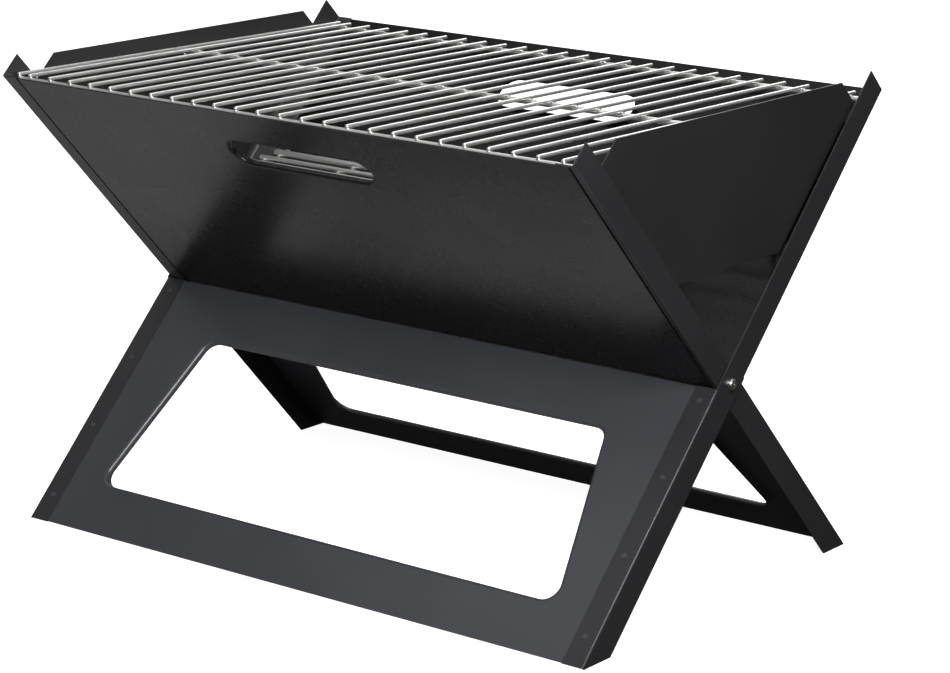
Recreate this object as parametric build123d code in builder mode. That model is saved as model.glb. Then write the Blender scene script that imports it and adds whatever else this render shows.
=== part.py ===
"""Folding X-frame camp grill: two crossed sheet-steel frames, cooking grid and charcoal grate.

Frame of the model: X runs along the grill, Y from front to rear, Z up, floor at Z = 0.
Each frame has its own coordinates: s along the frame from the pivot upward, t square to it
and outward (down and away from the fire), h = -t inward, and e along X toward the frame's
plain end. The outer frame leans to the rear at the top. The inner frame is the same design
turned half round about Z, so it leans to the front.
"""

import os
from dataclasses import dataclass
from math import cos, radians, sin, sqrt

from build123d import *

os.makedirs("parts", exist_ok=True)

# Driving dimensions, mm and degrees
overall_length = 450.0      # outer faces of the outer rails
lean = 45.8                 # slope of each frame above the floor
pivot_height = 140.5
rail_top = 231.5            # pivot to the square-cut top end of a rail
rail_sheet = 0.9
panel_sheet = 0.8
frame_gap = 1.3             # between an outer rail and the inner rail beside it
bend_radius = 1.6           # outside radius of the rail folds

# Walls and leg panels, along s
wall_bottom = -7.5
wall_top = 231.2
leg_top = -10.5
leg_bottom = -203.8
upper_flange = 12.3
lower_flange = 15.5
wall_groove = 1.6           # open joint beside the plain flange
joggle_run = 1.4

# Handle slot in each wall
slot_centre = 188.0
slot_length = 111.0
slot_height = 24.0
rim_depth = 3.8
rim_radius = 2.2

# Opening in each leg panel
opening_top = -50.0
opening_bottom = -168.0
opening_top_half = 161.5
opening_bottom_half = 185.0
opening_corner = 10.0
lip_depth = 4.2
lip_radius = 3.4            # outside radius of the rolled edge

# Lanced stop tabs low in each wall
tab_row = 61.5
tab_pitch = 88.0
tab_width = 6.0
tab_reach = 3.0

# Rivets that hold the leg panels
rivet_first = -19.8
rivet_pitch = 55.1
rivet_count = 4
rivet_inset = 8.5
rivet_head = 3.6
rivet_rise = 0.55
rivet_shank = 2.4

# Pivot hardware (M4)
screw_diameter = 4.0
screw_head = 7.8
screw_head_rise = 2.5
screw_length = 9.0
screw_hole = 4.2
washer_diameter = 9.0
washer_bore = 4.3
washer_thickness = 1.0
nut_flats = 7.0
nut_height = 3.2
nut_gap = 0.3

# End plates and their lift-off hinges
plate_sheet = 0.8
plate_x = 221.0             # middle of the flat part
plate_top = 309.6
plate_bottom = 212.4
plate_front_cut = 207.6     # along the inner frame
plate_rear_cut = 207.6      # along the outer frame
plate_front_edge = -7.0     # outward of the inner frame's axis
plate_bend = 8.0            # radius of the rear bend, to the middle of the sheet
plate_flank = 60.0          # angle through which the rear bend turns
hinge_x = 207.2
hinge_t = 4.2
pin_diameter = 3.0
curl_play = 0.08
pin_bottom = 112.0
pin_top = 207.0
lug_length = 9.0
lug_half_width = 1.6
curl_start = 122.0          # lower end of the plate's curl, above the lug
rod_hole = 4.6

# Cooking grid
grid_wire = 2.5
grid_rod = 3.5
grid_wire_count = 25
grid_wire_pitch = 17.4
grid_edge_wire = -218.6     # one more wire, close beside the left end plate
grid_wire_height = 298.55   # at Y = 0
grid_tilt = 0.55            # the front of the grid sits a little higher
grid_front = -158.6         # front ends of the wires
grid_rear = 162.3
grid_rods = (               # position along Y, left end, right end
    (-157.0, -219.6, 219.6),
    (1.0, -221.6, 217.5),
    (156.5, -219.6, 219.8),
)

# Rests that carry the cooking grid
rest_sheet = 1.0
rest_width = 4.1
rest_starts = {"inner": 211.5, "outer": 216.4}      # staggered, to pass each other when folded
rest_tip = 153.0
rest_play = 0.3
rest_leg = 12.0

# Charcoal grate
edge_bar = 5.0
inner_bar = 3.5
cross_wire = 3.0
bar_half = 203.0
edge_bar_reach = 72.0
grate_middle = 1.4          # the front wall lies a little nearer than the rear one
grate_height = 217.3
inner_bar_count = 8
cross_count = 7
cross_pitch = 66.6
cross_reach = 81.8          # the cross wires' bends carry the grate on the walls
cross_top = 221.5           # their ends turn up outside the edge bars
cross_bend = 3.0

# Derived
sine = sin(radians(lean))
cosine = cos(radians(lean))


@dataclass
class Frame:
    """One of the two crossed frames."""

    name: str
    half: float             # outer face of the rail, along e
    face: float             # outer face of the panels, along t
    free_upper: float       # free edge of the rail above the pivot
    free_lower: float       # free edge of the rail below the pivot
    reach: float            # how far the panels run along e
    flange_start: float     # lower end of the rail's upper flange, along s
    turn: int               # 1 as drawn, -1 turned half round about Z

    def end_plane(self, e):
        """Plane square to X at e, with local x = s and local y = h."""
        return Plane(
            origin=(self.turn * e, 0, pivot_height),
            x_dir=(0, self.turn * cosine, sine),
            z_dir=(self.turn, 0, 0),
        )

    def section_plane(self, s):
        """Plane square to the frame at s, with local x = e and local y = t."""
        return Plane(
            origin=(0, self.turn * s * cosine, pivot_height + s * sine),
            x_dir=(self.turn, 0, 0),
            z_dir=(0, self.turn * cosine, sine),
        )

    def panel_plane(self, h):
        """Plane of the panels at h, with local x = e and local y = s."""
        return Plane(
            origin=(0, -self.turn * h * sine, pivot_height + h * cosine),
            x_dir=(self.turn, 0, 0),
            z_dir=(0, -self.turn * sine, cosine),
        )


outer = Frame("outer", overall_length / 2, 10.4, 10.4, 10.4, 221.3, 11.2, 1)
inner_half = overall_length / 2 - rail_sheet - frame_gap
inner = Frame("inner", inner_half, 10.0, 8.4, 9.1, 220.6, wall_bottom, -1)


def save(part, name):
    """Label a finished part and write it to its own STEP file."""
    part.label = name
    export_step(part, f"parts/{name}.step")


def yz(frame, s, t):
    """Y and Z of a point given along and square to a frame."""
    y = frame.turn * (s * cosine + t * sine)
    z = pivot_height + s * sine - t * cosine
    return y, z


def floor_s(t):
    """Where a line at t along a frame reaches the floor."""
    return (t * cosine - pivot_height) / sine


# ---------------------------------------------------------------- rails


def rail_section(frame, side, flange_t, flange_width, t_low, t_high):
    """Angle section at the end `side` of a frame, with the flange's outer face at flange_t."""
    out = side * frame.half
    back = side * (frame.half - rail_sheet)
    tip = side * (frame.half - flange_width)
    inward = -rail_sheet if flange_t > 0 else rail_sheet
    free = t_low if flange_t > 0 else t_high
    with BuildSketch() as section:
        with BuildLine():
            Polyline(
                (out, free),
                (out, flange_t),
                (tip, flange_t),
                (tip, flange_t + inward),
                (back, flange_t + inward),
                (back, free),
                close=True,
            )
        make_face()
        corner = section.vertices().sort_by_distance((out, flange_t))[0]
        fillet(corner, bend_radius)
        inside = section.vertices().sort_by_distance((back, flange_t + inward))[0]
        fillet(inside, bend_radius - rail_sheet)
    return section.sketch


def make_rail(frame, side):
    """Full-length rail: flange outward above the pivot, inward below it, foot on the floor."""
    upper_face = frame.face if side > 0 else frame.face - panel_sheet
    upper = rail_section(
        frame, side, upper_face, upper_flange, -frame.free_upper, upper_face
    )
    lower = rail_section(
        frame, side, -frame.face, lower_flange, -frame.face, frame.free_lower
    )
    start = frame.half - rail_sheet if side > 0 else -frame.half
    with BuildPart() as rail:
        with BuildSketch(frame.section_plane(frame.flange_start)):
            add(upper)
        extrude(amount=rail_top - frame.flange_start)
        with BuildSketch(frame.section_plane(leg_top)):
            add(lower)
        extrude(amount=floor_s(frame.face) * 1.1 - leg_top)
        with BuildSketch(frame.end_plane(start)):
            with Locations(((frame.flange_start + leg_top) / 2, 0)):
                Rectangle(
                    frame.flange_start - leg_top,
                    2 * min(frame.free_upper, frame.free_lower),
                )
        extrude(amount=rail_sheet)
        with BuildSketch(Plane.XY):
            Rectangle(2 * overall_length, 2 * overall_length)
        extrude(amount=-overall_length, mode=Mode.SUBTRACT)
        with BuildSketch(frame.end_plane(start - rail_sheet)):
            Circle(screw_hole / 2)
        extrude(amount=3 * rail_sheet, mode=Mode.SUBTRACT)
    return rail.part


# ---------------------------------------------------------------- walls


def wall_profile(frame):
    """Sheet seen along s: flush over one flange, joggled under the other."""
    edge = -min(frame.half - bend_radius - 1.2, frame.reach)
    step = frame.half - upper_flange - wall_groove
    low = frame.face - rail_sheet
    with BuildSketch() as profile:
        with BuildLine():
            Polyline(
                (edge, frame.face),
                (step, frame.face),
                (step + joggle_run, low),
                (frame.reach, low),
                (frame.reach, low - panel_sheet),
                (step + joggle_run - 0.5, low - panel_sheet),
                (step - 0.5, frame.face - panel_sheet),
                (edge, frame.face - panel_sheet),
                close=True,
            )
        make_face()
        ends = section_corners(profile, (edge, frame.face), (step, frame.face))
        fillet(ends, 0.7)
    return profile.sketch


def section_corners(sketch, *points):
    """The vertex of a sketch nearest to each point."""
    return [sketch.vertices().sort_by_distance(point)[0] for point in points]


def make_wall(frame):
    """Upper panel with the rolled handle slot and the row of stop tabs."""
    inside = -(frame.face - panel_sheet)
    profile = wall_profile(frame)
    with BuildPart() as wall:
        with BuildSketch(frame.section_plane(wall_bottom)):
            add(profile)
        extrude(amount=wall_top - wall_bottom)
        with BuildSketch(frame.panel_plane(inside)):
            with Locations((0, slot_centre)):
                SlotOverall(slot_length + 2 * panel_sheet, slot_height + 2 * panel_sheet)
        extrude(amount=rim_depth - panel_sheet)
        with BuildSketch(frame.panel_plane(-frame.face)):
            with Locations((0, slot_centre)):
                SlotOverall(slot_length, slot_height)
        extrude(amount=rim_depth, mode=Mode.SUBTRACT)
        mouth = wall.edges().filter_by(lambda edge: on_slot_mouth(frame, edge))
        fillet(mouth, rim_radius - 0.6)
        tabs = [(column * tab_pitch, tab_row) for column in (-1, 0, 1)]
        with BuildSketch(frame.panel_plane(-frame.face)):
            with Locations(*[(e, s + panel_sheet) for e, s in tabs]):
                Rectangle(tab_width, panel_sheet)
        extrude(amount=panel_sheet, mode=Mode.SUBTRACT)
        with BuildSketch(frame.panel_plane(inside)):
            with Locations(*tabs):
                Rectangle(tab_width, panel_sheet)
        extrude(amount=tab_reach)
    return wall.part


def on_slot_mouth(frame, edge):
    """True for the edges where the slot breaks the wall's outer face."""
    centre = edge.center()
    along = (centre.Y * frame.turn) * cosine + (centre.Z - pivot_height) * sine
    square = (centre.Y * frame.turn) * sine - (centre.Z - pivot_height) * cosine
    near_slot = abs(along - slot_centre) <= slot_height / 2 + 0.1
    return abs(square - frame.face) < 0.01 and near_slot and abs(centre.X) < slot_length


# ---------------------------------------------------------------- leg panels


def opening_sketch(margin):
    """Rounded trapezoid of the leg opening, larger by margin all round."""
    with BuildSketch() as opening:
        with BuildLine():
            Polyline(
                (-opening_top_half, opening_top),
                (opening_top_half, opening_top),
                (opening_bottom_half, opening_bottom),
                (-opening_bottom_half, opening_bottom),
                close=True,
            )
        make_face()
        fillet(opening.vertices(), opening_corner)
        if margin:
            offset(amount=margin, kind=Kind.ARC)
    return opening.sketch


def make_leg(frame):
    """Lower panel with a large opening whose edge is turned back."""
    outside = frame.face - rail_sheet
    hole = opening_sketch(0)
    collar = opening_sketch(panel_sheet)
    with BuildPart() as leg:
        with BuildSketch(frame.panel_plane(outside)):
            with Locations((0, (leg_top + leg_bottom) / 2)):
                Rectangle(2 * frame.reach, leg_top - leg_bottom)
        extrude(amount=-panel_sheet)
        with BuildSketch(frame.panel_plane(outside - panel_sheet)):
            add(collar)
        extrude(amount=-(lip_depth - panel_sheet))
        with BuildSketch(frame.panel_plane(outside)):
            add(hole)
        extrude(amount=-lip_depth, mode=Mode.SUBTRACT)
        foot = leg.edges().filter_by(
            lambda edge: on_leg_mouth(frame, edge, outside - panel_sheet)
        )
        fillet(foot, lip_radius - panel_sheet)
        mouth = leg.edges().filter_by(lambda edge: on_leg_mouth(frame, edge, outside))
        fillet(mouth, lip_radius)
        holes = rivet_places(frame)
        with BuildSketch(frame.panel_plane(outside)):
            with Locations(*holes):
                Circle(rivet_shank / 2)
        extrude(amount=-panel_sheet, mode=Mode.SUBTRACT)
    return leg.part


def on_leg_mouth(frame, edge, h):
    """True for the edges where the opening breaks the leg's outer face."""
    centre = edge.center()
    along = (centre.Y * frame.turn) * cosine + (centre.Z - pivot_height) * sine
    square = -(centre.Y * frame.turn) * sine + (centre.Z - pivot_height) * cosine
    in_opening = opening_bottom - 1 < along < opening_top + 1
    return abs(square - h) < 0.01 and in_opening and abs(centre.X) < frame.reach - 20


def rivet_places(frame):
    """Rivet centres along e and s."""
    column = frame.half - rivet_inset
    rows = [rivet_first - rivet_pitch * row for row in range(rivet_count)]
    return [(side * column, s) for side in (-1, 1) for s in rows]


def make_rivets(frame):
    """The leg panel's rivets, as separate solids."""
    places = rivet_places(frame)
    grip = rail_sheet + panel_sheet
    with BuildPart() as rivets:
        with BuildSketch(frame.panel_plane(frame.face)):
            with Locations(*places):
                Circle(rivet_head / 2)
        extrude(amount=rivet_rise, taper=25)
        with BuildSketch(frame.panel_plane(frame.face)):
            with Locations(*places):
                Circle(rivet_shank / 2)
        extrude(amount=-grip - rivet_rise)
        with BuildSketch(frame.panel_plane(frame.face - grip)):
            with Locations(*places):
                Circle(rivet_head / 2 - 0.2)
        extrude(amount=-rivet_rise, taper=20)
    return rivets.part


def cut_rivet_holes(rail, frame):
    """Open the rivet holes in a rail's lower flange."""
    with BuildPart() as drilled:
        add(rail)
        with BuildSketch(frame.panel_plane(frame.face + 1)):
            with Locations(*rivet_places(frame)):
                Circle(rivet_shank / 2)
        extrude(amount=-rail_sheet - 1.5, mode=Mode.SUBTRACT)
    return drilled.part


# ---------------------------------------------------------------- pivots


def pivot_plane(side, x):
    """Plane square to the pivot axis at x on one side, facing outward."""
    return Plane(
        origin=(side * x, 0, pivot_height), x_dir=(0, 1, 0), z_dir=(side, 0, 0)
    )


def make_screws():
    """Cross-recessed pan-head screws, heads outside."""
    half = overall_length / 2
    top = half + screw_head_rise
    with BuildPart() as screws:
        for side in (-1, 1):
            with BuildSketch(pivot_plane(side, half)):
                Circle(screw_head / 2)
            extrude(amount=screw_head_rise)
            with BuildSketch(pivot_plane(side, half)):
                Circle(screw_diameter / 2)
            extrude(amount=-screw_length)
        crowns = screws.edges().filter_by(lambda edge: abs(abs(edge.center().X) - top) < 0.01)
        fillet(crowns, screw_head_rise * 0.62)
        for side in (-1, 1):
            with BuildSketch(pivot_plane(side, top - 1.3)):
                Rectangle(3.8, 0.9)
                Rectangle(0.9, 3.8)
            extrude(amount=1.4, mode=Mode.SUBTRACT)
    return screws.part


def make_washers():
    """Flat washers between the rails."""
    with BuildPart() as washers:
        for side in (-1, 1):
            with BuildSketch(pivot_plane(side, overall_length / 2 - rail_sheet)):
                Circle(washer_diameter / 2)
                Circle(washer_bore / 2, mode=Mode.SUBTRACT)
            extrude(amount=-washer_thickness)
    return washers.part


def make_nuts():
    """Lock nuts inside the inner rails."""
    start = inner.half - rail_sheet - nut_gap
    with BuildPart() as nuts:
        for side in (-1, 1):
            with BuildSketch(pivot_plane(side, start)):
                RegularPolygon(nut_flats / 2, 6, major_radius=False)
                Circle(screw_diameter / 2, mode=Mode.SUBTRACT)
            extrude(amount=-nut_height)
            with BuildSketch(pivot_plane(side, start - nut_height)):
                Circle(nut_flats / 2 - 0.3)
                Circle(screw_diameter / 2, mode=Mode.SUBTRACT)
            extrude(amount=-1.2)
    return nuts.part


# ---------------------------------------------------------------- end plates


def plate_profile(side):
    """End plate seen along the outer frame: flat sheet, swept bend and flank."""
    half = plate_sheet / 2
    turn = radians(plate_flank)
    curl = pin_diameter / 2 + curl_play + half
    # the bend starts where the flank comes out tangent to the curl
    length = plate_x - plate_bend * (1 - cos(turn)) - hinge_x + curl * cos(turn)
    length /= sin(turn)
    bend_t = hinge_t - (curl + plate_bend) * sin(turn) - length * cos(turn)
    centre = (side * (plate_x - plate_bend), bend_t)
    with BuildSketch() as profile:
        with Locations((side * plate_x, (bend_t - 230) / 2)):
            Rectangle(plate_sheet, bend_t + 230)
        with BuildLine():
            Polyline(
                arc_point(centre, side, plate_bend - half, 0),
                arc_point(centre, side, plate_bend + half, 0),
            )
            ThreePointArc(
                arc_point(centre, side, plate_bend + half, 0),
                arc_point(centre, side, plate_bend + half, turn / 2),
                arc_point(centre, side, plate_bend + half, turn),
            )
            Polyline(
                arc_point(centre, side, plate_bend + half, turn),
                arc_point(centre, side, plate_bend - half, turn),
            )
            ThreePointArc(
                arc_point(centre, side, plate_bend - half, turn),
                arc_point(centre, side, plate_bend - half, turn / 2),
                arc_point(centre, side, plate_bend - half, 0),
            )
        make_face()
        start = arc_point(centre, side, plate_bend, turn)
        foot = (
            side * (hinge_x - curl * cos(turn)),
            hinge_t - curl * sin(turn),
        )
        middle = ((start[0] + foot[0]) / 2, (start[1] + foot[1]) / 2)
        with Locations(Location(middle, (plate_flank - 90) * side)):
            Rectangle(length, plate_sheet)
    return profile.sketch


def arc_point(centre, side, radius, angle):
    """Point on the plate's bend, angle measured from the flat sheet."""
    return centre[0] + side * radius * cos(angle), centre[1] + radius * sin(angle)


def plate_outline():
    """Outline of an end plate in Y and Z, with both top corners cut square to the frames."""
    front_top = corner_on_top(inner, plate_front_cut)
    rear_top = corner_on_top(outer, plate_rear_cut)
    front_cut = yz(inner, plate_front_cut, plate_front_edge)
    rear_cut = yz(outer, plate_rear_cut, hinge_t + 4)
    front_low = corner_on_bottom(inner, plate_front_edge)
    rear_low = corner_on_bottom(outer, hinge_t + 4)
    return [front_top, front_cut, front_low, rear_low, rear_cut, rear_top]


def corner_on_top(frame, s):
    """Where a line square to a frame at s crosses the plate's top edge."""
    t = (pivot_height + s * sine - plate_top) / cosine
    return yz(frame, s, t)


def corner_on_bottom(frame, t):
    """Where a line along a frame at t crosses the plate's bottom edge."""
    s = (plate_bottom - pivot_height + t * cosine) / sine
    return yz(frame, s, t)


def make_end_plate(side):
    """End plate, cut from the long profile by its outline. The left one takes the centre rod."""
    profile = plate_profile(side)
    across = Plane(origin=(0, 0, 0), x_dir=(0, 1, 0), z_dir=(1, 0, 0))
    with BuildPart() as plate:
        with BuildSketch(outer.section_plane(-80)):
            add(profile)
        extrude(amount=400)
        with BuildSketch(outer.section_plane(curl_start)):
            with Locations((side * hinge_x, hinge_t)):
                Circle(pin_diameter / 2 + curl_play + plate_sheet)
        extrude(amount=200)
        with BuildSketch(outer.section_plane(-80)):
            with Locations((side * hinge_x, hinge_t)):
                Circle(pin_diameter / 2 + curl_play)
        extrude(amount=400, mode=Mode.SUBTRACT)
        with BuildSketch(across.offset(side * 200)):
            with BuildLine():
                Polyline(*plate_outline(), close=True)
            make_face()
        extrude(amount=side * 30, mode=Mode.INTERSECT)
        if side < 0:
            with BuildSketch(across.offset(side * (plate_x - 5))):
                with Locations(on_grid(grid_rods[1][0], (grid_wire + grid_rod) / 2)):
                    Circle(rod_hole / 2)
            extrude(amount=side * 10, mode=Mode.SUBTRACT)
    return plate.part


def make_hinge_pin(side):
    """Wire pin that the plate's curl slides onto."""
    with BuildPart() as pin:
        with BuildSketch(outer.section_plane(pin_bottom)):
            with Locations((side * hinge_x, hinge_t)):
                Circle(pin_diameter / 2)
        extrude(amount=pin_top - pin_bottom)
        ends = pin.edges().filter_by(GeomType.CIRCLE)
        chamfer(ends, 0.4)
    return pin.part


def make_hinge_lug(side):
    """Lug on the rear wall that holds the foot of the pin."""
    wall_t = outer.face - panel_sheet
    with BuildPart() as lug:
        with BuildSketch(outer.section_plane(pin_bottom)):
            with Locations((side * hinge_x, (wall_t + hinge_t) / 2)):
                Rectangle(2 * lug_half_width, wall_t - hinge_t)
            with Locations((side * hinge_x, hinge_t)):
                Circle(pin_diameter / 2, mode=Mode.SUBTRACT)
        extrude(amount=lug_length)
    return lug.part


# ---------------------------------------------------------------- grid rests


def make_rests(frame):
    """Two small angle brackets on a wall that carry the ends of a cross rod."""
    back = frame.face - rail_sheet - panel_sheet
    rod = grid_rods[2] if frame.turn > 0 else grid_rods[0]
    rod_z = on_grid(rod[0], (grid_wire + grid_rod) / 2)[1]
    shelf = rod_z - grid_rod / 2 - rest_play
    top_s = (shelf - pivot_height + back * cosine) / sine
    low_s = top_s - rest_leg
    under = shelf - rest_sheet
    under_s = (under - pivot_height + (back - rest_sheet) * cosine) / sine
    points = [
        (frame.turn * rest_tip, shelf),
        yz(frame, top_s, back),
        yz(frame, low_s, back),
        yz(frame, low_s, back - rest_sheet),
        yz(frame, under_s, back - rest_sheet),
        (frame.turn * rest_tip, under),
    ]
    across = Plane(origin=(0, 0, 0), x_dir=(0, 1, 0), z_dir=(1, 0, 0))
    with BuildPart() as rests:
        inner_edge = rest_starts[frame.name]
        for start in (inner_edge, -inner_edge - rest_width):
            with BuildSketch(across.offset(start)):
                with BuildLine():
                    Polyline(*points, close=True)
                make_face()
            extrude(amount=rest_width)
    return rests.part


# ---------------------------------------------------------------- grids


def on_grid(y, drop):
    """Y and Z of a point along the cooking grid, a distance below the wires' axes."""
    tilt = radians(grid_tilt)
    height = grid_wire_height - y * sin(tilt) - drop * cos(tilt)
    return y * cos(tilt) - drop * sin(tilt), height


def make_grid_wires():
    """The cooking grid's wires, front to rear."""
    tilt = radians(grid_tilt)
    front = Plane(
        origin=(0, *on_grid(grid_front, 0)),
        x_dir=(1, 0, 0),
        z_dir=(0, cos(tilt), -sin(tilt)),
    )
    first = -grid_wire_pitch * (grid_wire_count - 1) / 2
    places = [first + number * grid_wire_pitch for number in range(grid_wire_count)]
    with BuildPart() as wires:
        with BuildSketch(front):
            with Locations(*[(x, 0) for x in [grid_edge_wire, *places]]):
                Circle(grid_wire / 2)
        extrude(amount=grid_rear - grid_front)
        fillet(wires.edges().filter_by(GeomType.CIRCLE), grid_wire / 2 - 0.3)
    return wires.part


def make_grid_rods():
    """The cooking grid's three cross rods, under the wires."""
    with BuildPart() as rods:
        for y, left, right in grid_rods:
            with BuildSketch(Plane.YZ.offset(left)):
                with Locations(on_grid(y, (grid_wire + grid_rod) / 2)):
                    Circle(grid_rod / 2)
            extrude(amount=right - left)
        fillet(rods.edges().filter_by(GeomType.CIRCLE), 0.8)
    return rods.part


def make_grate_bars():
    """The charcoal grate's long bars: one thick bar at each edge, thinner ones between."""
    pitch = 2 * edge_bar_reach / (inner_bar_count + 1)
    low = grate_height - edge_bar / 2
    with BuildPart() as bars:
        with BuildSketch(Plane.YZ.offset(-bar_half)):
            for y in (grate_middle - edge_bar_reach, grate_middle + edge_bar_reach):
                with Locations((y, grate_height)):
                    Circle(edge_bar / 2)
            for number in range(1, inner_bar_count + 1):
                y = grate_middle - edge_bar_reach + number * pitch
                with Locations((y, low + inner_bar / 2)):
                    Circle(inner_bar / 2)
        extrude(amount=2 * bar_half)
        fillet(bars.edges().filter_by(GeomType.CIRCLE), 0.8)
    return bars.part


def make_grate_cross_wires():
    """The charcoal grate's cross wires, under the bars, with both ends turned up."""
    first = -cross_pitch * (cross_count - 1) / 2
    low = grate_height - (edge_bar + cross_wire) / 2
    front, rear = grate_middle - cross_reach, grate_middle + cross_reach
    with BuildPart() as wires:
        for number in range(cross_count):
            x = first + number * cross_pitch
            with BuildLine() as path:
                FilletPolyline(
                    (x, front, cross_top),
                    (x, front, low),
                    (x, rear, low),
                    (x, rear, cross_top),
                    radius=cross_bend,
                )
            with BuildSketch(Plane(origin=(x, front, cross_top), z_dir=(0, 0, -1))):
                Circle(cross_wire / 2)
            sweep(path=path.wires()[0])
        ends = wires.edges().filter_by(GeomType.CIRCLE).group_by(Axis.Z)[-1]
        fillet(ends, 0.8)
    return wires.part


# ---------------------------------------------------------------- write the parts

wall_names = {"outer": "rear_wall_panel", "inner": "front_wall_panel"}
leg_names = {"outer": "front_leg_panel", "inner": "rear_leg_panel"}
rivet_names = {"outer": "front_leg_rivets", "inner": "rear_leg_rivets"}
rest_names = {"outer": "rear_grid_rests", "inner": "front_grid_rests"}
side_names = {1: "right", -1: "left"}

for frame in (outer, inner):
    save(make_wall(frame), wall_names[frame.name])
    save(make_leg(frame), leg_names[frame.name])
    save(make_rivets(frame), rivet_names[frame.name])
    save(make_rests(frame), rest_names[frame.name])
    for side in (1, -1):
        rail = cut_rivet_holes(make_rail(frame, side), frame)
        save(rail, f"{frame.name}_rail_{side_names[side * frame.turn]}")

save(make_screws(), "pivot_screws")
save(make_washers(), "pivot_washers")
save(make_nuts(), "pivot_nuts")

for side, word in side_names.items():
    save(make_end_plate(side), f"end_plate_{word}")
    save(make_hinge_pin(side), f"hinge_pin_{word}")
    save(make_hinge_lug(side), f"hinge_lug_{word}")

save(make_grid_wires(), "grid_wires")
save(make_grid_rods(), "grid_cross_rods")
save(make_grate_bars(), "grate_bars")
save(make_grate_cross_wires(), "grate_cross_wires")
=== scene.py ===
import math
import random

import bmesh
import bpy
from mathutils import Matrix, Vector


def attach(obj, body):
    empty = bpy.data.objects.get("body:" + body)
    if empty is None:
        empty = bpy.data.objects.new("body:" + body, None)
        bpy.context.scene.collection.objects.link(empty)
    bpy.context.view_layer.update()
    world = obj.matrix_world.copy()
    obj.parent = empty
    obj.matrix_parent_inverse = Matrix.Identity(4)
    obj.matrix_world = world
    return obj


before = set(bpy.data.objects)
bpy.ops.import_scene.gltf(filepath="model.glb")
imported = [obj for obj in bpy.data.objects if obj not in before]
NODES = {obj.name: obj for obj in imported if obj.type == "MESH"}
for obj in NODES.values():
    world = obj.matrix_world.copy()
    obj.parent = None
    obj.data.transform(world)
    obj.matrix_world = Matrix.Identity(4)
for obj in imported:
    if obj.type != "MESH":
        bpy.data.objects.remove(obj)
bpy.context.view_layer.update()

SEED = 41
RNG = random.Random(SEED)

MIX_A, MIX_B, MIX_COLOUR = 6, 7, 2       # colour sockets of a Mix node


# ---------------------------------------------------------------- node helpers

class Tree:
    """A small helper that builds one node material."""

    def __init__(self, name):
        self.mat = bpy.data.materials.new(name)
        self.mat.use_nodes = True
        self.tree = self.mat.node_tree
        self.tree.nodes.clear()
        self.out = self.add("ShaderNodeOutputMaterial")
        self.bsdf = self.add("ShaderNodeBsdfPrincipled")
        self.link(self.bsdf, "BSDF", self.out, "Surface")
        self.coord = self.add("ShaderNodeTexCoord")

    def add(self, kind, **props):
        node = self.tree.nodes.new(kind)
        for key, value in props.items():
            setattr(node, key, value)
        return node

    def link(self, a, a_out, b, b_in):
        self.tree.links.new(a.outputs[a_out], b.inputs[b_in])

    def mapped(self, scale):
        node = self.add("ShaderNodeMapping")
        node.inputs["Scale"].default_value = scale
        self.link(self.coord, "Object", node, "Vector")
        return node

    def noise(self, scale, detail=3.0, rough=0.55, vector=None, distort=0.0):
        node = self.add("ShaderNodeTexNoise")
        node.inputs["Scale"].default_value = scale
        node.inputs["Detail"].default_value = detail
        node.inputs["Roughness"].default_value = rough
        node.inputs["Distortion"].default_value = distort
        if vector is None:
            self.link(self.coord, "Object", node, "Vector")
        else:
            self.link(vector, "Vector", node, "Vector")
        return node

    def ramp(self, source, output, stops):
        node = self.add("ShaderNodeValToRGB")
        self.link(source, output, node, "Fac")
        elements = node.color_ramp.elements
        while len(elements) < len(stops):
            elements.new(0.5)
        for element, (position, colour) in zip(elements, stops):
            element.position = position
            element.color = (*colour, 1.0)
        return node

    def span(self, source, output, low, high, to_low, to_high):
        node = self.add("ShaderNodeMapRange")
        self.link(source, output, node, "Value")
        for key, value in (("From Min", low), ("From Max", high),
                           ("To Min", to_low), ("To Max", to_high)):
            node.inputs[key].default_value = value
        return node

    def math(self, operation, a, b):
        node = self.add("ShaderNodeMath", operation=operation, use_clamp=True)
        self.tree.links.new(a, node.inputs[0])
        self.tree.links.new(b, node.inputs[1])
        return node

    def mix(self, factor, a, b):
        node = self.add("ShaderNodeMix", data_type="RGBA")
        self.tree.links.new(factor, node.inputs["Factor"])
        for socket, value in ((node.inputs[MIX_A], a), (node.inputs[MIX_B], b)):
            if hasattr(value, "links"):
                self.tree.links.new(value, socket)
            else:
                socket.default_value = (*value, 1.0)
        return node

    def bump(self, height, strength, distance, under=None):
        node = self.add("ShaderNodeBump")
        node.inputs["Strength"].default_value = strength
        node.inputs["Distance"].default_value = distance
        self.tree.links.new(height, node.inputs["Height"])
        if under is not None:
            self.link(under, "Normal", node, "Normal")
        return node


PAINTED_EDGE_HIGHLIGHT = (0.16, 0.16, 0.165)         # painted highlight colour along sheet edges, a light bare-steel grey
EDGE_BAND = 0.0005                       # width of the painted highlight along sheet edges


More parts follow.
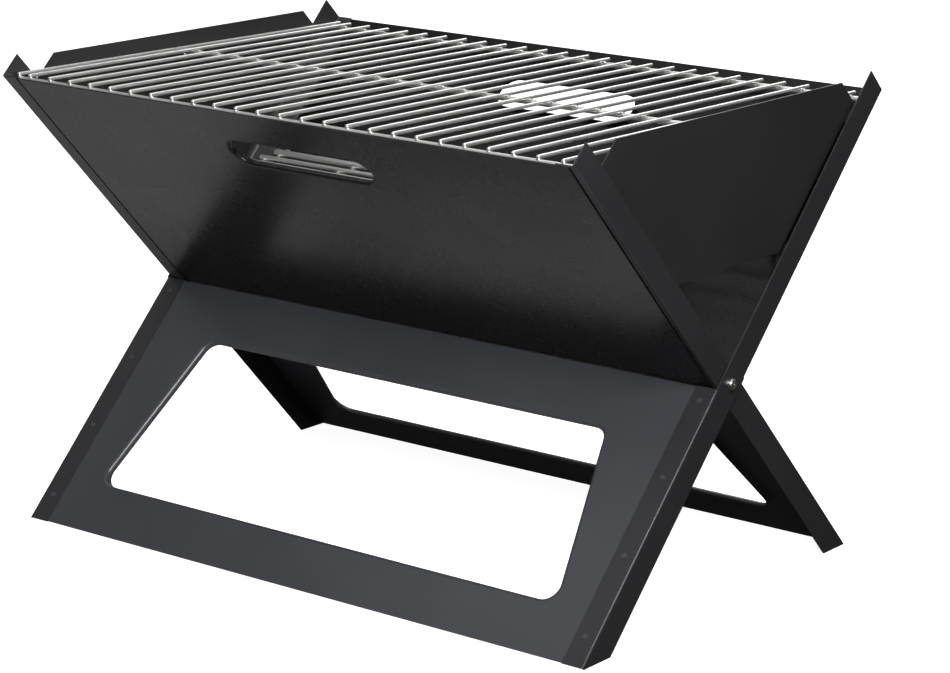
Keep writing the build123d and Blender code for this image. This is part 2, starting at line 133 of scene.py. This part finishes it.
def enamel(name, dark, light, rough=0.36, grain=0.35, edge_highlight=0.25, speck=0.3):
    """Satin heat-resistant enamel: fine orange peel, faint clouding, and a painted highlight
    along sheet edges.
    """
    t = Tree(name)
    cloud = t.noise(9.0, 4.0, 0.6)
    fine = t.noise(420.0, 2.0, 0.5)
    peel = t.noise(1500.0, 3.0, 0.6)
    dots = t.noise(2600.0, 1.0, 0.4)
    base = t.ramp(cloud, "Fac", [(0.32, dark), (0.7, light)])
    specks = t.span(dots, "Fac", 0.68, 0.76, 0.0, speck)
    grit = t.mix(specks.outputs["Result"], base.outputs["Color"],
                 tuple(min(1.0, 1.8 * c + 0.008) for c in light))
    # Painted highlight: a patchy light steel colour along the sheet edges, found with the Bevel
    # node, stands in for light catching the edges (strongest on the rivets)
    bevel = t.add("ShaderNodeBevel", samples=4)
    bevel.inputs["Radius"].default_value = EDGE_BAND
    geometry = t.add("ShaderNodeNewGeometry")
    dot = t.add("ShaderNodeVectorMath", operation="DOT_PRODUCT")
    t.link(bevel, "Normal", dot, 0)
    t.link(geometry, "Normal", dot, 1)
    edge = t.span(dot, "Value", 0.93, 0.75, 0.0, 1.0)
    patchy = t.span(t.noise(130.0, 4.0, 0.65), "Fac", 0.42, 0.62, 0.0, edge_highlight)
    painted_highlight_mask = t.math("MULTIPLY", edge.outputs["Result"], patchy.outputs["Result"])
    colour = t.mix(painted_highlight_mask.outputs[0], grit.outputs[MIX_COLOUR], PAINTED_EDGE_HIGHLIGHT)
    t.tree.links.new(colour.outputs[MIX_COLOUR], t.bsdf.inputs["Base Color"])
    smudge = t.span(t.noise(22.0, 5.0, 0.65, distort=0.6), "Fac", 0.3, 0.72,
                    rough - 0.025, rough + 0.035)
    grainy = t.span(fine, "Fac", 0.3, 0.7, -0.05 * grain, 0.05 * grain)
    total = t.math("ADD", smudge.outputs["Result"], grainy.outputs["Result"])
    t.tree.links.new(total.outputs[0], t.bsdf.inputs["Roughness"])
    coarse = t.bump(fine.outputs["Fac"], grain, 0.00006)
    skin = t.bump(peel.outputs["Fac"], grain, 0.00003, under=coarse)
    t.link(skin, "Normal", t.bsdf, "Normal")
    t.bsdf.inputs["IOR"].default_value = 1.5
    t.bsdf.inputs["Specular IOR Level"].default_value = 0.5
    return t.mat


def plated(name, colour, shade, rough, along=(1, 1, 1), grain=0.25, stains=0.3, metal=1.0):
    """Bright plating over drawn wire: fine draw lines, dull patches and small pits."""
    t = Tree(name)
    drawn = t.noise(900.0, 3.0, 0.6, vector=t.mapped(along))
    patch = t.noise(70.0, 4.0, 0.62)
    pits = t.noise(1900.0, 2.0, 0.5)
    dull = t.span(patch, "Fac", 0.45, 0.72, 0.0, stains)
    tint = t.mix(dull.outputs["Result"], colour, shade)
    t.tree.links.new(tint.outputs[MIX_COLOUR], t.bsdf.inputs["Base Color"])
    spread = t.span(patch, "Fac", 0.3, 0.75, rough, rough + 0.14)
    fine = t.span(drawn, "Fac", 0.3, 0.7, -0.04, 0.05)
    total = t.math("ADD", spread.outputs["Result"], fine.outputs["Result"])
    t.tree.links.new(total.outputs[0], t.bsdf.inputs["Roughness"])
    lines = t.bump(drawn.outputs["Fac"], grain, 0.00005)
    skin = t.bump(pits.outputs["Fac"], grain, 0.00003, under=lines)
    t.link(skin, "Normal", t.bsdf, "Normal")
    t.bsdf.inputs["Metallic"].default_value = metal
    return t.mat


# ---------------------------------------------------------------- materials

# The frame is one black enamel; these part colours differ in brightness as painted light and
# shade: the walls near black as painted shade, the legs and their rivets lighter as painted
# light, the rails and end plates in between
WALL = enamel("enamel_wall_painted_shade", (0.0022, 0.0021, 0.0021), (0.0036, 0.0034, 0.0034), 0.27,
              grain=0.04, speck=0.1)
LEG = enamel("enamel_leg_painted_light", (0.0430, 0.0444, 0.0505), (0.0530, 0.0546, 0.0615), 0.34, grain=0.15)
RAIL = enamel("enamel_rail", (0.0215, 0.0218, 0.0236), (0.0285, 0.0289, 0.0312), 0.38, grain=0.2)
PLATE = enamel("enamel_plate", (0.0170, 0.0168, 0.0168), (0.0225, 0.0222, 0.0222), 0.42,
               grain=0.2)
RIVET = enamel("enamel_rivet", (0.0380, 0.0390, 0.0440), (0.0560, 0.0570, 0.0620), 0.36, edge_highlight=0.6)
CHROME_Y = plated("chrome_wires", (0.80, 0.80, 0.785), (0.58, 0.575, 0.56), 0.29, (1, 0.05, 1),
                  grain=0.08, stains=0.2, metal=0.85)
# Painted shade: the rods get a darker plating colour than the wires, for the grid's cross rods
# lying under its wires; the grate's bars share it
CHROME_X = plated("chrome_rods_painted_shade", (0.72, 0.72, 0.705), (0.52, 0.515, 0.50), 0.28, (0.05, 1, 1),
                  grain=0.08, stains=0.2, metal=0.85)
WELD = plated("weld_metal", (0.74, 0.74, 0.72), (0.40, 0.39, 0.37), 0.34, grain=0.6, stains=0.6)
NICKEL = plated("plated_screws", (0.78, 0.76, 0.72), (0.45, 0.43, 0.40), 0.22)

FINISH = {
    "rear_wall_panel": WALL, "front_wall_panel": WALL,
    "front_leg_panel": LEG, "rear_leg_panel": LEG,
    "outer_rail_left": RAIL, "outer_rail_right": RAIL,
    "inner_rail_left": RAIL, "inner_rail_right": RAIL,
    "end_plate_left": PLATE, "end_plate_right": PLATE,
    "front_leg_rivets": RIVET, "rear_leg_rivets": RIVET,
    "front_grid_rests": RAIL, "rear_grid_rests": RAIL,
    "hinge_lug_left": RAIL, "hinge_lug_right": RAIL,
    "hinge_pin_left": NICKEL, "hinge_pin_right": NICKEL,
    "pivot_screws": NICKEL, "pivot_washers": NICKEL, "pivot_nuts": NICKEL,
    "grid_wires": CHROME_Y, "grid_cross_rods": CHROME_X,
    "grate_bars": CHROME_X, "grate_cross_wires": CHROME_Y,
}

EDGE_ROUND = {RAIL: 0.00030, PLATE: 0.00028}       # metres; walls and legs stay as they are
MERGE_WITHIN = 0.00001
SHARP_ANGLE = math.radians(50)


def finish_nodes():
    """Give each CAD node its finish, and round the sheet edges of the rails, hinge lugs and end
    plates a little.
    """
    for name, node in NODES.items():
        mat = FINISH[name]
        node.data.materials.clear()
        node.data.materials.append(mat)
        width = EDGE_ROUND.get(mat)
        if width is None or name.endswith("rests"):
            continue
        weld = node.modifiers.new("weld", "WELD")
        weld.merge_threshold = MERGE_WITHIN
        bevel = node.modifiers.new("edge", "BEVEL")
        bevel.width = width
        bevel.segments = 2
        bevel.limit_method = "ANGLE"
        bevel.angle_limit = SHARP_ANGLE
        bevel.use_clamp_overlap = True
        bevel.harden_normals = True


finish_nodes()


# ---------------------------------------------------------------- welds of the two grids

# Places of the wires and bars, in millimetres as in the CAD
MM = 0.001
GRID_FIRST, GRID_PITCH, GRID_WIRES, GRID_EXTRA = -208.8, 17.4, 25, -218.6
GRID_HEIGHT, GRID_TILT = 298.55, math.radians(0.55)
GRID_RODS = (-157.0, 1.0, 156.5)
MIDDLE_ROD_END = 217.5
WIRE_R = 1.25
GRATE_HEIGHT, GRATE_MIDDLE, GRATE_REACH, GRATE_BARS = 217.3, 1.4, 72.0, 10
CROSS_PITCH, CROSS_COUNT, EDGE_R = 66.6, 7, 2.5

# Half sizes of the nuggets of weld metal
GRID_NUGGET = (1.62, 1.75, 0.95)
GRATE_NUGGET = (1.95, 1.7, 0.95)
EDGE_NUGGET = (1.95, 2.1, 0.95)
NUGGET_RINGS, NUGGET_SIDES = 5, 8
NUGGET_SWELL = 0.10
WELD_WANDER = 0.15


def add_nugget(bm, centre, size):
    """A small lump of weld metal, flattened and a little uneven."""
    rings, around = NUGGET_RINGS, NUGGET_SIDES
    turn = RNG.uniform(0, math.pi)
    rows = []
    for ring in range(1, rings):
        lift = math.cos(math.pi * ring / rings)
        wide = math.sin(math.pi * ring / rings)
        row = []
        for step in range(around):
            angle = turn + math.tau * step / around
            swell = 1 + RNG.uniform(-NUGGET_SWELL, NUGGET_SWELL)
            row.append(bm.verts.new((
                (centre[0] + size[0] * wide * math.cos(angle) * swell) * MM,
                (centre[1] + size[1] * wide * math.sin(angle) * swell) * MM,
                (centre[2] + size[2] * lift) * MM)))
        rows.append(row)
    poles = [bm.verts.new((centre[0] * MM, centre[1] * MM, (centre[2] + sign * size[2]) * MM))
             for sign in (1, -1)]
    for step in range(around):
        after = (step + 1) % around
        bm.faces.new((poles[0], rows[0][step], rows[0][after]))
        bm.faces.new((poles[1], rows[-1][after], rows[-1][step]))
        for upper, lower in zip(rows, rows[1:]):
            bm.faces.new((upper[step], lower[step], lower[after], upper[after]))


def weld_piece(name, body, nuggets):
    """All the welds of one grid as a single piece that rides with it."""
    bm = bmesh.new()
    for centre, size in nuggets:
        add_nugget(bm, centre, size)
    bmesh.ops.recalc_face_normals(bm, faces=bm.faces)
    for face in bm.faces:
        face.smooth = True
    mesh = bpy.data.meshes.new(name)
    bm.to_mesh(mesh)
    bm.free()
    mesh.materials.append(WELD)
    piece = bpy.data.objects.new(name, mesh)
    bpy.context.collection.objects.link(piece)
    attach(piece, body)


def grid_point(y, drop):
    """Y and Z of a point along the tilted grid, a distance below the wires' axes."""
    return (y * math.cos(GRID_TILT) - drop * math.sin(GRID_TILT),
            GRID_HEIGHT - y * math.sin(GRID_TILT) - drop * math.cos(GRID_TILT))


def make_grid_welds():
    """Welds where the grid's wires lie on its rods. The middle rod ends before the last wire."""
    places = [GRID_EXTRA] + [GRID_FIRST + GRID_PITCH * n for n in range(GRID_WIRES)]
    nuggets = []
    for y in GRID_RODS:
        _, z = grid_point(y, WIRE_R)
        for x in places:
            if y == GRID_RODS[1] and x > MIDDLE_ROD_END:
                continue
            wander = RNG.uniform(-WELD_WANDER, WELD_WANDER)
            nuggets.append(((x, y + wander, z), GRID_NUGGET))
    weld_piece("cooking_grid_welds", "cooking_grid", nuggets)


def make_grate_welds():
    """Welds where the charcoal grate's bars lie on its cross wires."""
    nuggets = []
    step = 2 * GRATE_REACH / (GRATE_BARS - 1)
    for column in range(CROSS_COUNT):
        x = (column - (CROSS_COUNT - 1) / 2) * CROSS_PITCH
        for row in range(GRATE_BARS):
            y = GRATE_MIDDLE - GRATE_REACH + row * step
            size = EDGE_NUGGET if row in (0, GRATE_BARS - 1) else GRATE_NUGGET
            nuggets.append(((x, y, GRATE_HEIGHT - EDGE_R), size))
    weld_piece("charcoal_grate_welds", "charcoal_grate", nuggets)


make_grid_welds()
make_grate_welds()


# ---------------------------------------------------------------- stage, light and camera

def plain(name, colour, rough=0.9, glow=0.0):
    """A plain matt material, with an even white glow if asked."""
    t = Tree(name)
    t.bsdf.inputs["Base Color"].default_value = (*colour, 1)
    t.bsdf.inputs["Roughness"].default_value = rough
    t.bsdf.inputs["Emission Color"].default_value = (1, 1, 1, 1)
    t.bsdf.inputs["Emission Strength"].default_value = glow
    return t.mat


def make_floor():
    """A white floor for the camera, and a grey one for reflections and bounced light."""
    for name, z, reach, right, rear, mat in (
            ("floor", 0.0, 30.0, 30.0, 30.0, plain("floor_white", (0.90, 0.90, 0.90), glow=0.95)),
            ("floor_bounce", -0.002, 3.0, 0.2, 0.02, plain("floor_grey", (0.46, 0.46, 0.46)))):
        mesh = bpy.data.meshes.new(name)
        mesh.from_pydata([(-reach, -reach, z), (right, -reach, z), (right, rear, z),
                          (-reach, rear, z)], [], [(0, 1, 2, 3)])
        floor = bpy.data.objects.new(name, mesh)
        bpy.context.collection.objects.link(floor)
        mesh.materials.append(mat)
        for_camera = name == "floor"
        floor.visible_camera = for_camera
        floor.visible_glossy = not for_camera
        floor.visible_diffuse = not for_camera
        if for_camera:
            floor.visible_shadow = False


def area_light(name, place, target, size, power):
    """A white rectangular light aimed at target, unseen by the camera. Power is in watts."""
    data = bpy.data.lights.new(name, "AREA")
    data.shape = "RECTANGLE"
    data.size, data.size_y = size
    data.energy = power
    lamp = bpy.data.objects.new(name, data)
    bpy.context.collection.objects.link(lamp)
    lamp.location = place
    lamp.visible_camera = False
    lamp.rotation_mode = "QUATERNION"
    lamp.rotation_quaternion = (Vector(target) - Vector(place)).to_track_quat("-Z", "Y")


def make_lights():
    """Five soft studio lights."""
    area_light("key_front", (0.75, -0.75, 0.85), (0.03, 0, 0.1), (0.5, 0.4), 17)
    area_light("fill_right", (2.4, 0.1, 0.9), (0, 0, 0.15), (1.2, 1.0), 4)
    area_light("soft_left", (-0.9, -0.6, 1.6), (0.1, 0, 0.1), (0.6, 0.6), 0.8)
    area_light("rear_fill", (-0.6, 1.8, 1.2), (0, 0, 0.15), (1.2, 0.8), 12)
    area_light("top", (-0.2, 0.5, 2.4), (0, 0, 0.2), (1.6, 1.0), 24)


# Height in the sky, from straight down to straight up, and its brightness
SKY_STOPS = ((0.0, 0.02), (0.46, 0.04), (0.52, 0.08), (0.75, 0.13), (1.0, 0.18))


def make_world():
    """A dim studio sky, a little brighter overhead, so downward faces stay deep."""
    world = bpy.data.worlds.new("studio")
    world.use_nodes = True
    nodes, links = world.node_tree.nodes, world.node_tree.links
    background = nodes["Background"]
    coord = nodes.new("ShaderNodeTexCoord")
    split = nodes.new("ShaderNodeSeparateXYZ")
    share = nodes.new("ShaderNodeMapRange")
    share.inputs["From Min"].default_value = -1.0
    ramp = nodes.new("ShaderNodeValToRGB")
    elements = ramp.color_ramp.elements
    while len(elements) < len(SKY_STOPS):
        elements.new(0.5)
    for element, (position, level) in zip(elements, SKY_STOPS):
        element.position = position
        element.color = (level, level, level, 1)
    links.new(coord.outputs["Generated"], split.inputs["Vector"])
    links.new(split.outputs["Z"], share.inputs["Value"])
    links.new(share.outputs["Result"], ramp.inputs["Fac"])
    links.new(ramp.outputs["Color"], background.inputs["Color"])
    bpy.context.scene.world = world


# The camera found from the photograph's perspective, in degrees and metres
CAMERA_AZIMUTH = 36.41
CAMERA_ELEVATION = 13.73
CAMERA_ROLL = 0.995
CAMERA_PLACE = (1.1862, -1.5299, 0.6347)
PHOTO_WIDTH = 950
FOCAL_PIXELS = 3076.9
SENSOR_WIDTH = 36.0
CAMERA_SHIFT = (-0.0378, -0.0445)


def make_camera():
    """A camera at the photograph's viewing angle."""
    data = bpy.data.cameras.new("camera")
    data.sensor_width = SENSOR_WIDTH
    data.lens = SENSOR_WIDTH * (FOCAL_PIXELS / PHOTO_WIDTH)
    data.shift_x, data.shift_y = CAMERA_SHIFT
    data.clip_start = 0.05
    data.clip_end = 100
    camera = bpy.data.objects.new("camera", data)
    bpy.context.collection.objects.link(camera)
    az, el = math.radians(CAMERA_AZIMUTH), math.radians(CAMERA_ELEVATION)
    look = Vector((-math.sin(az) * math.cos(el), math.cos(az) * math.cos(el), -math.sin(el)))
    right = Vector((math.cos(az), math.sin(az), 0))
    up = right.cross(look)
    roll = math.radians(CAMERA_ROLL)
    right, up = (right * math.cos(roll) + up * math.sin(roll),
                 up * math.cos(roll) - right * math.sin(roll))
    matrix = Matrix((right, up, -look)).transposed().to_4x4()
    matrix.translation = Vector(CAMERA_PLACE)
    camera.matrix_world = matrix
    bpy.context.scene.camera = camera


make_floor()
make_lights()
make_world()
make_camera()
bpy.context.scene.view_settings.view_transform = "Standard"
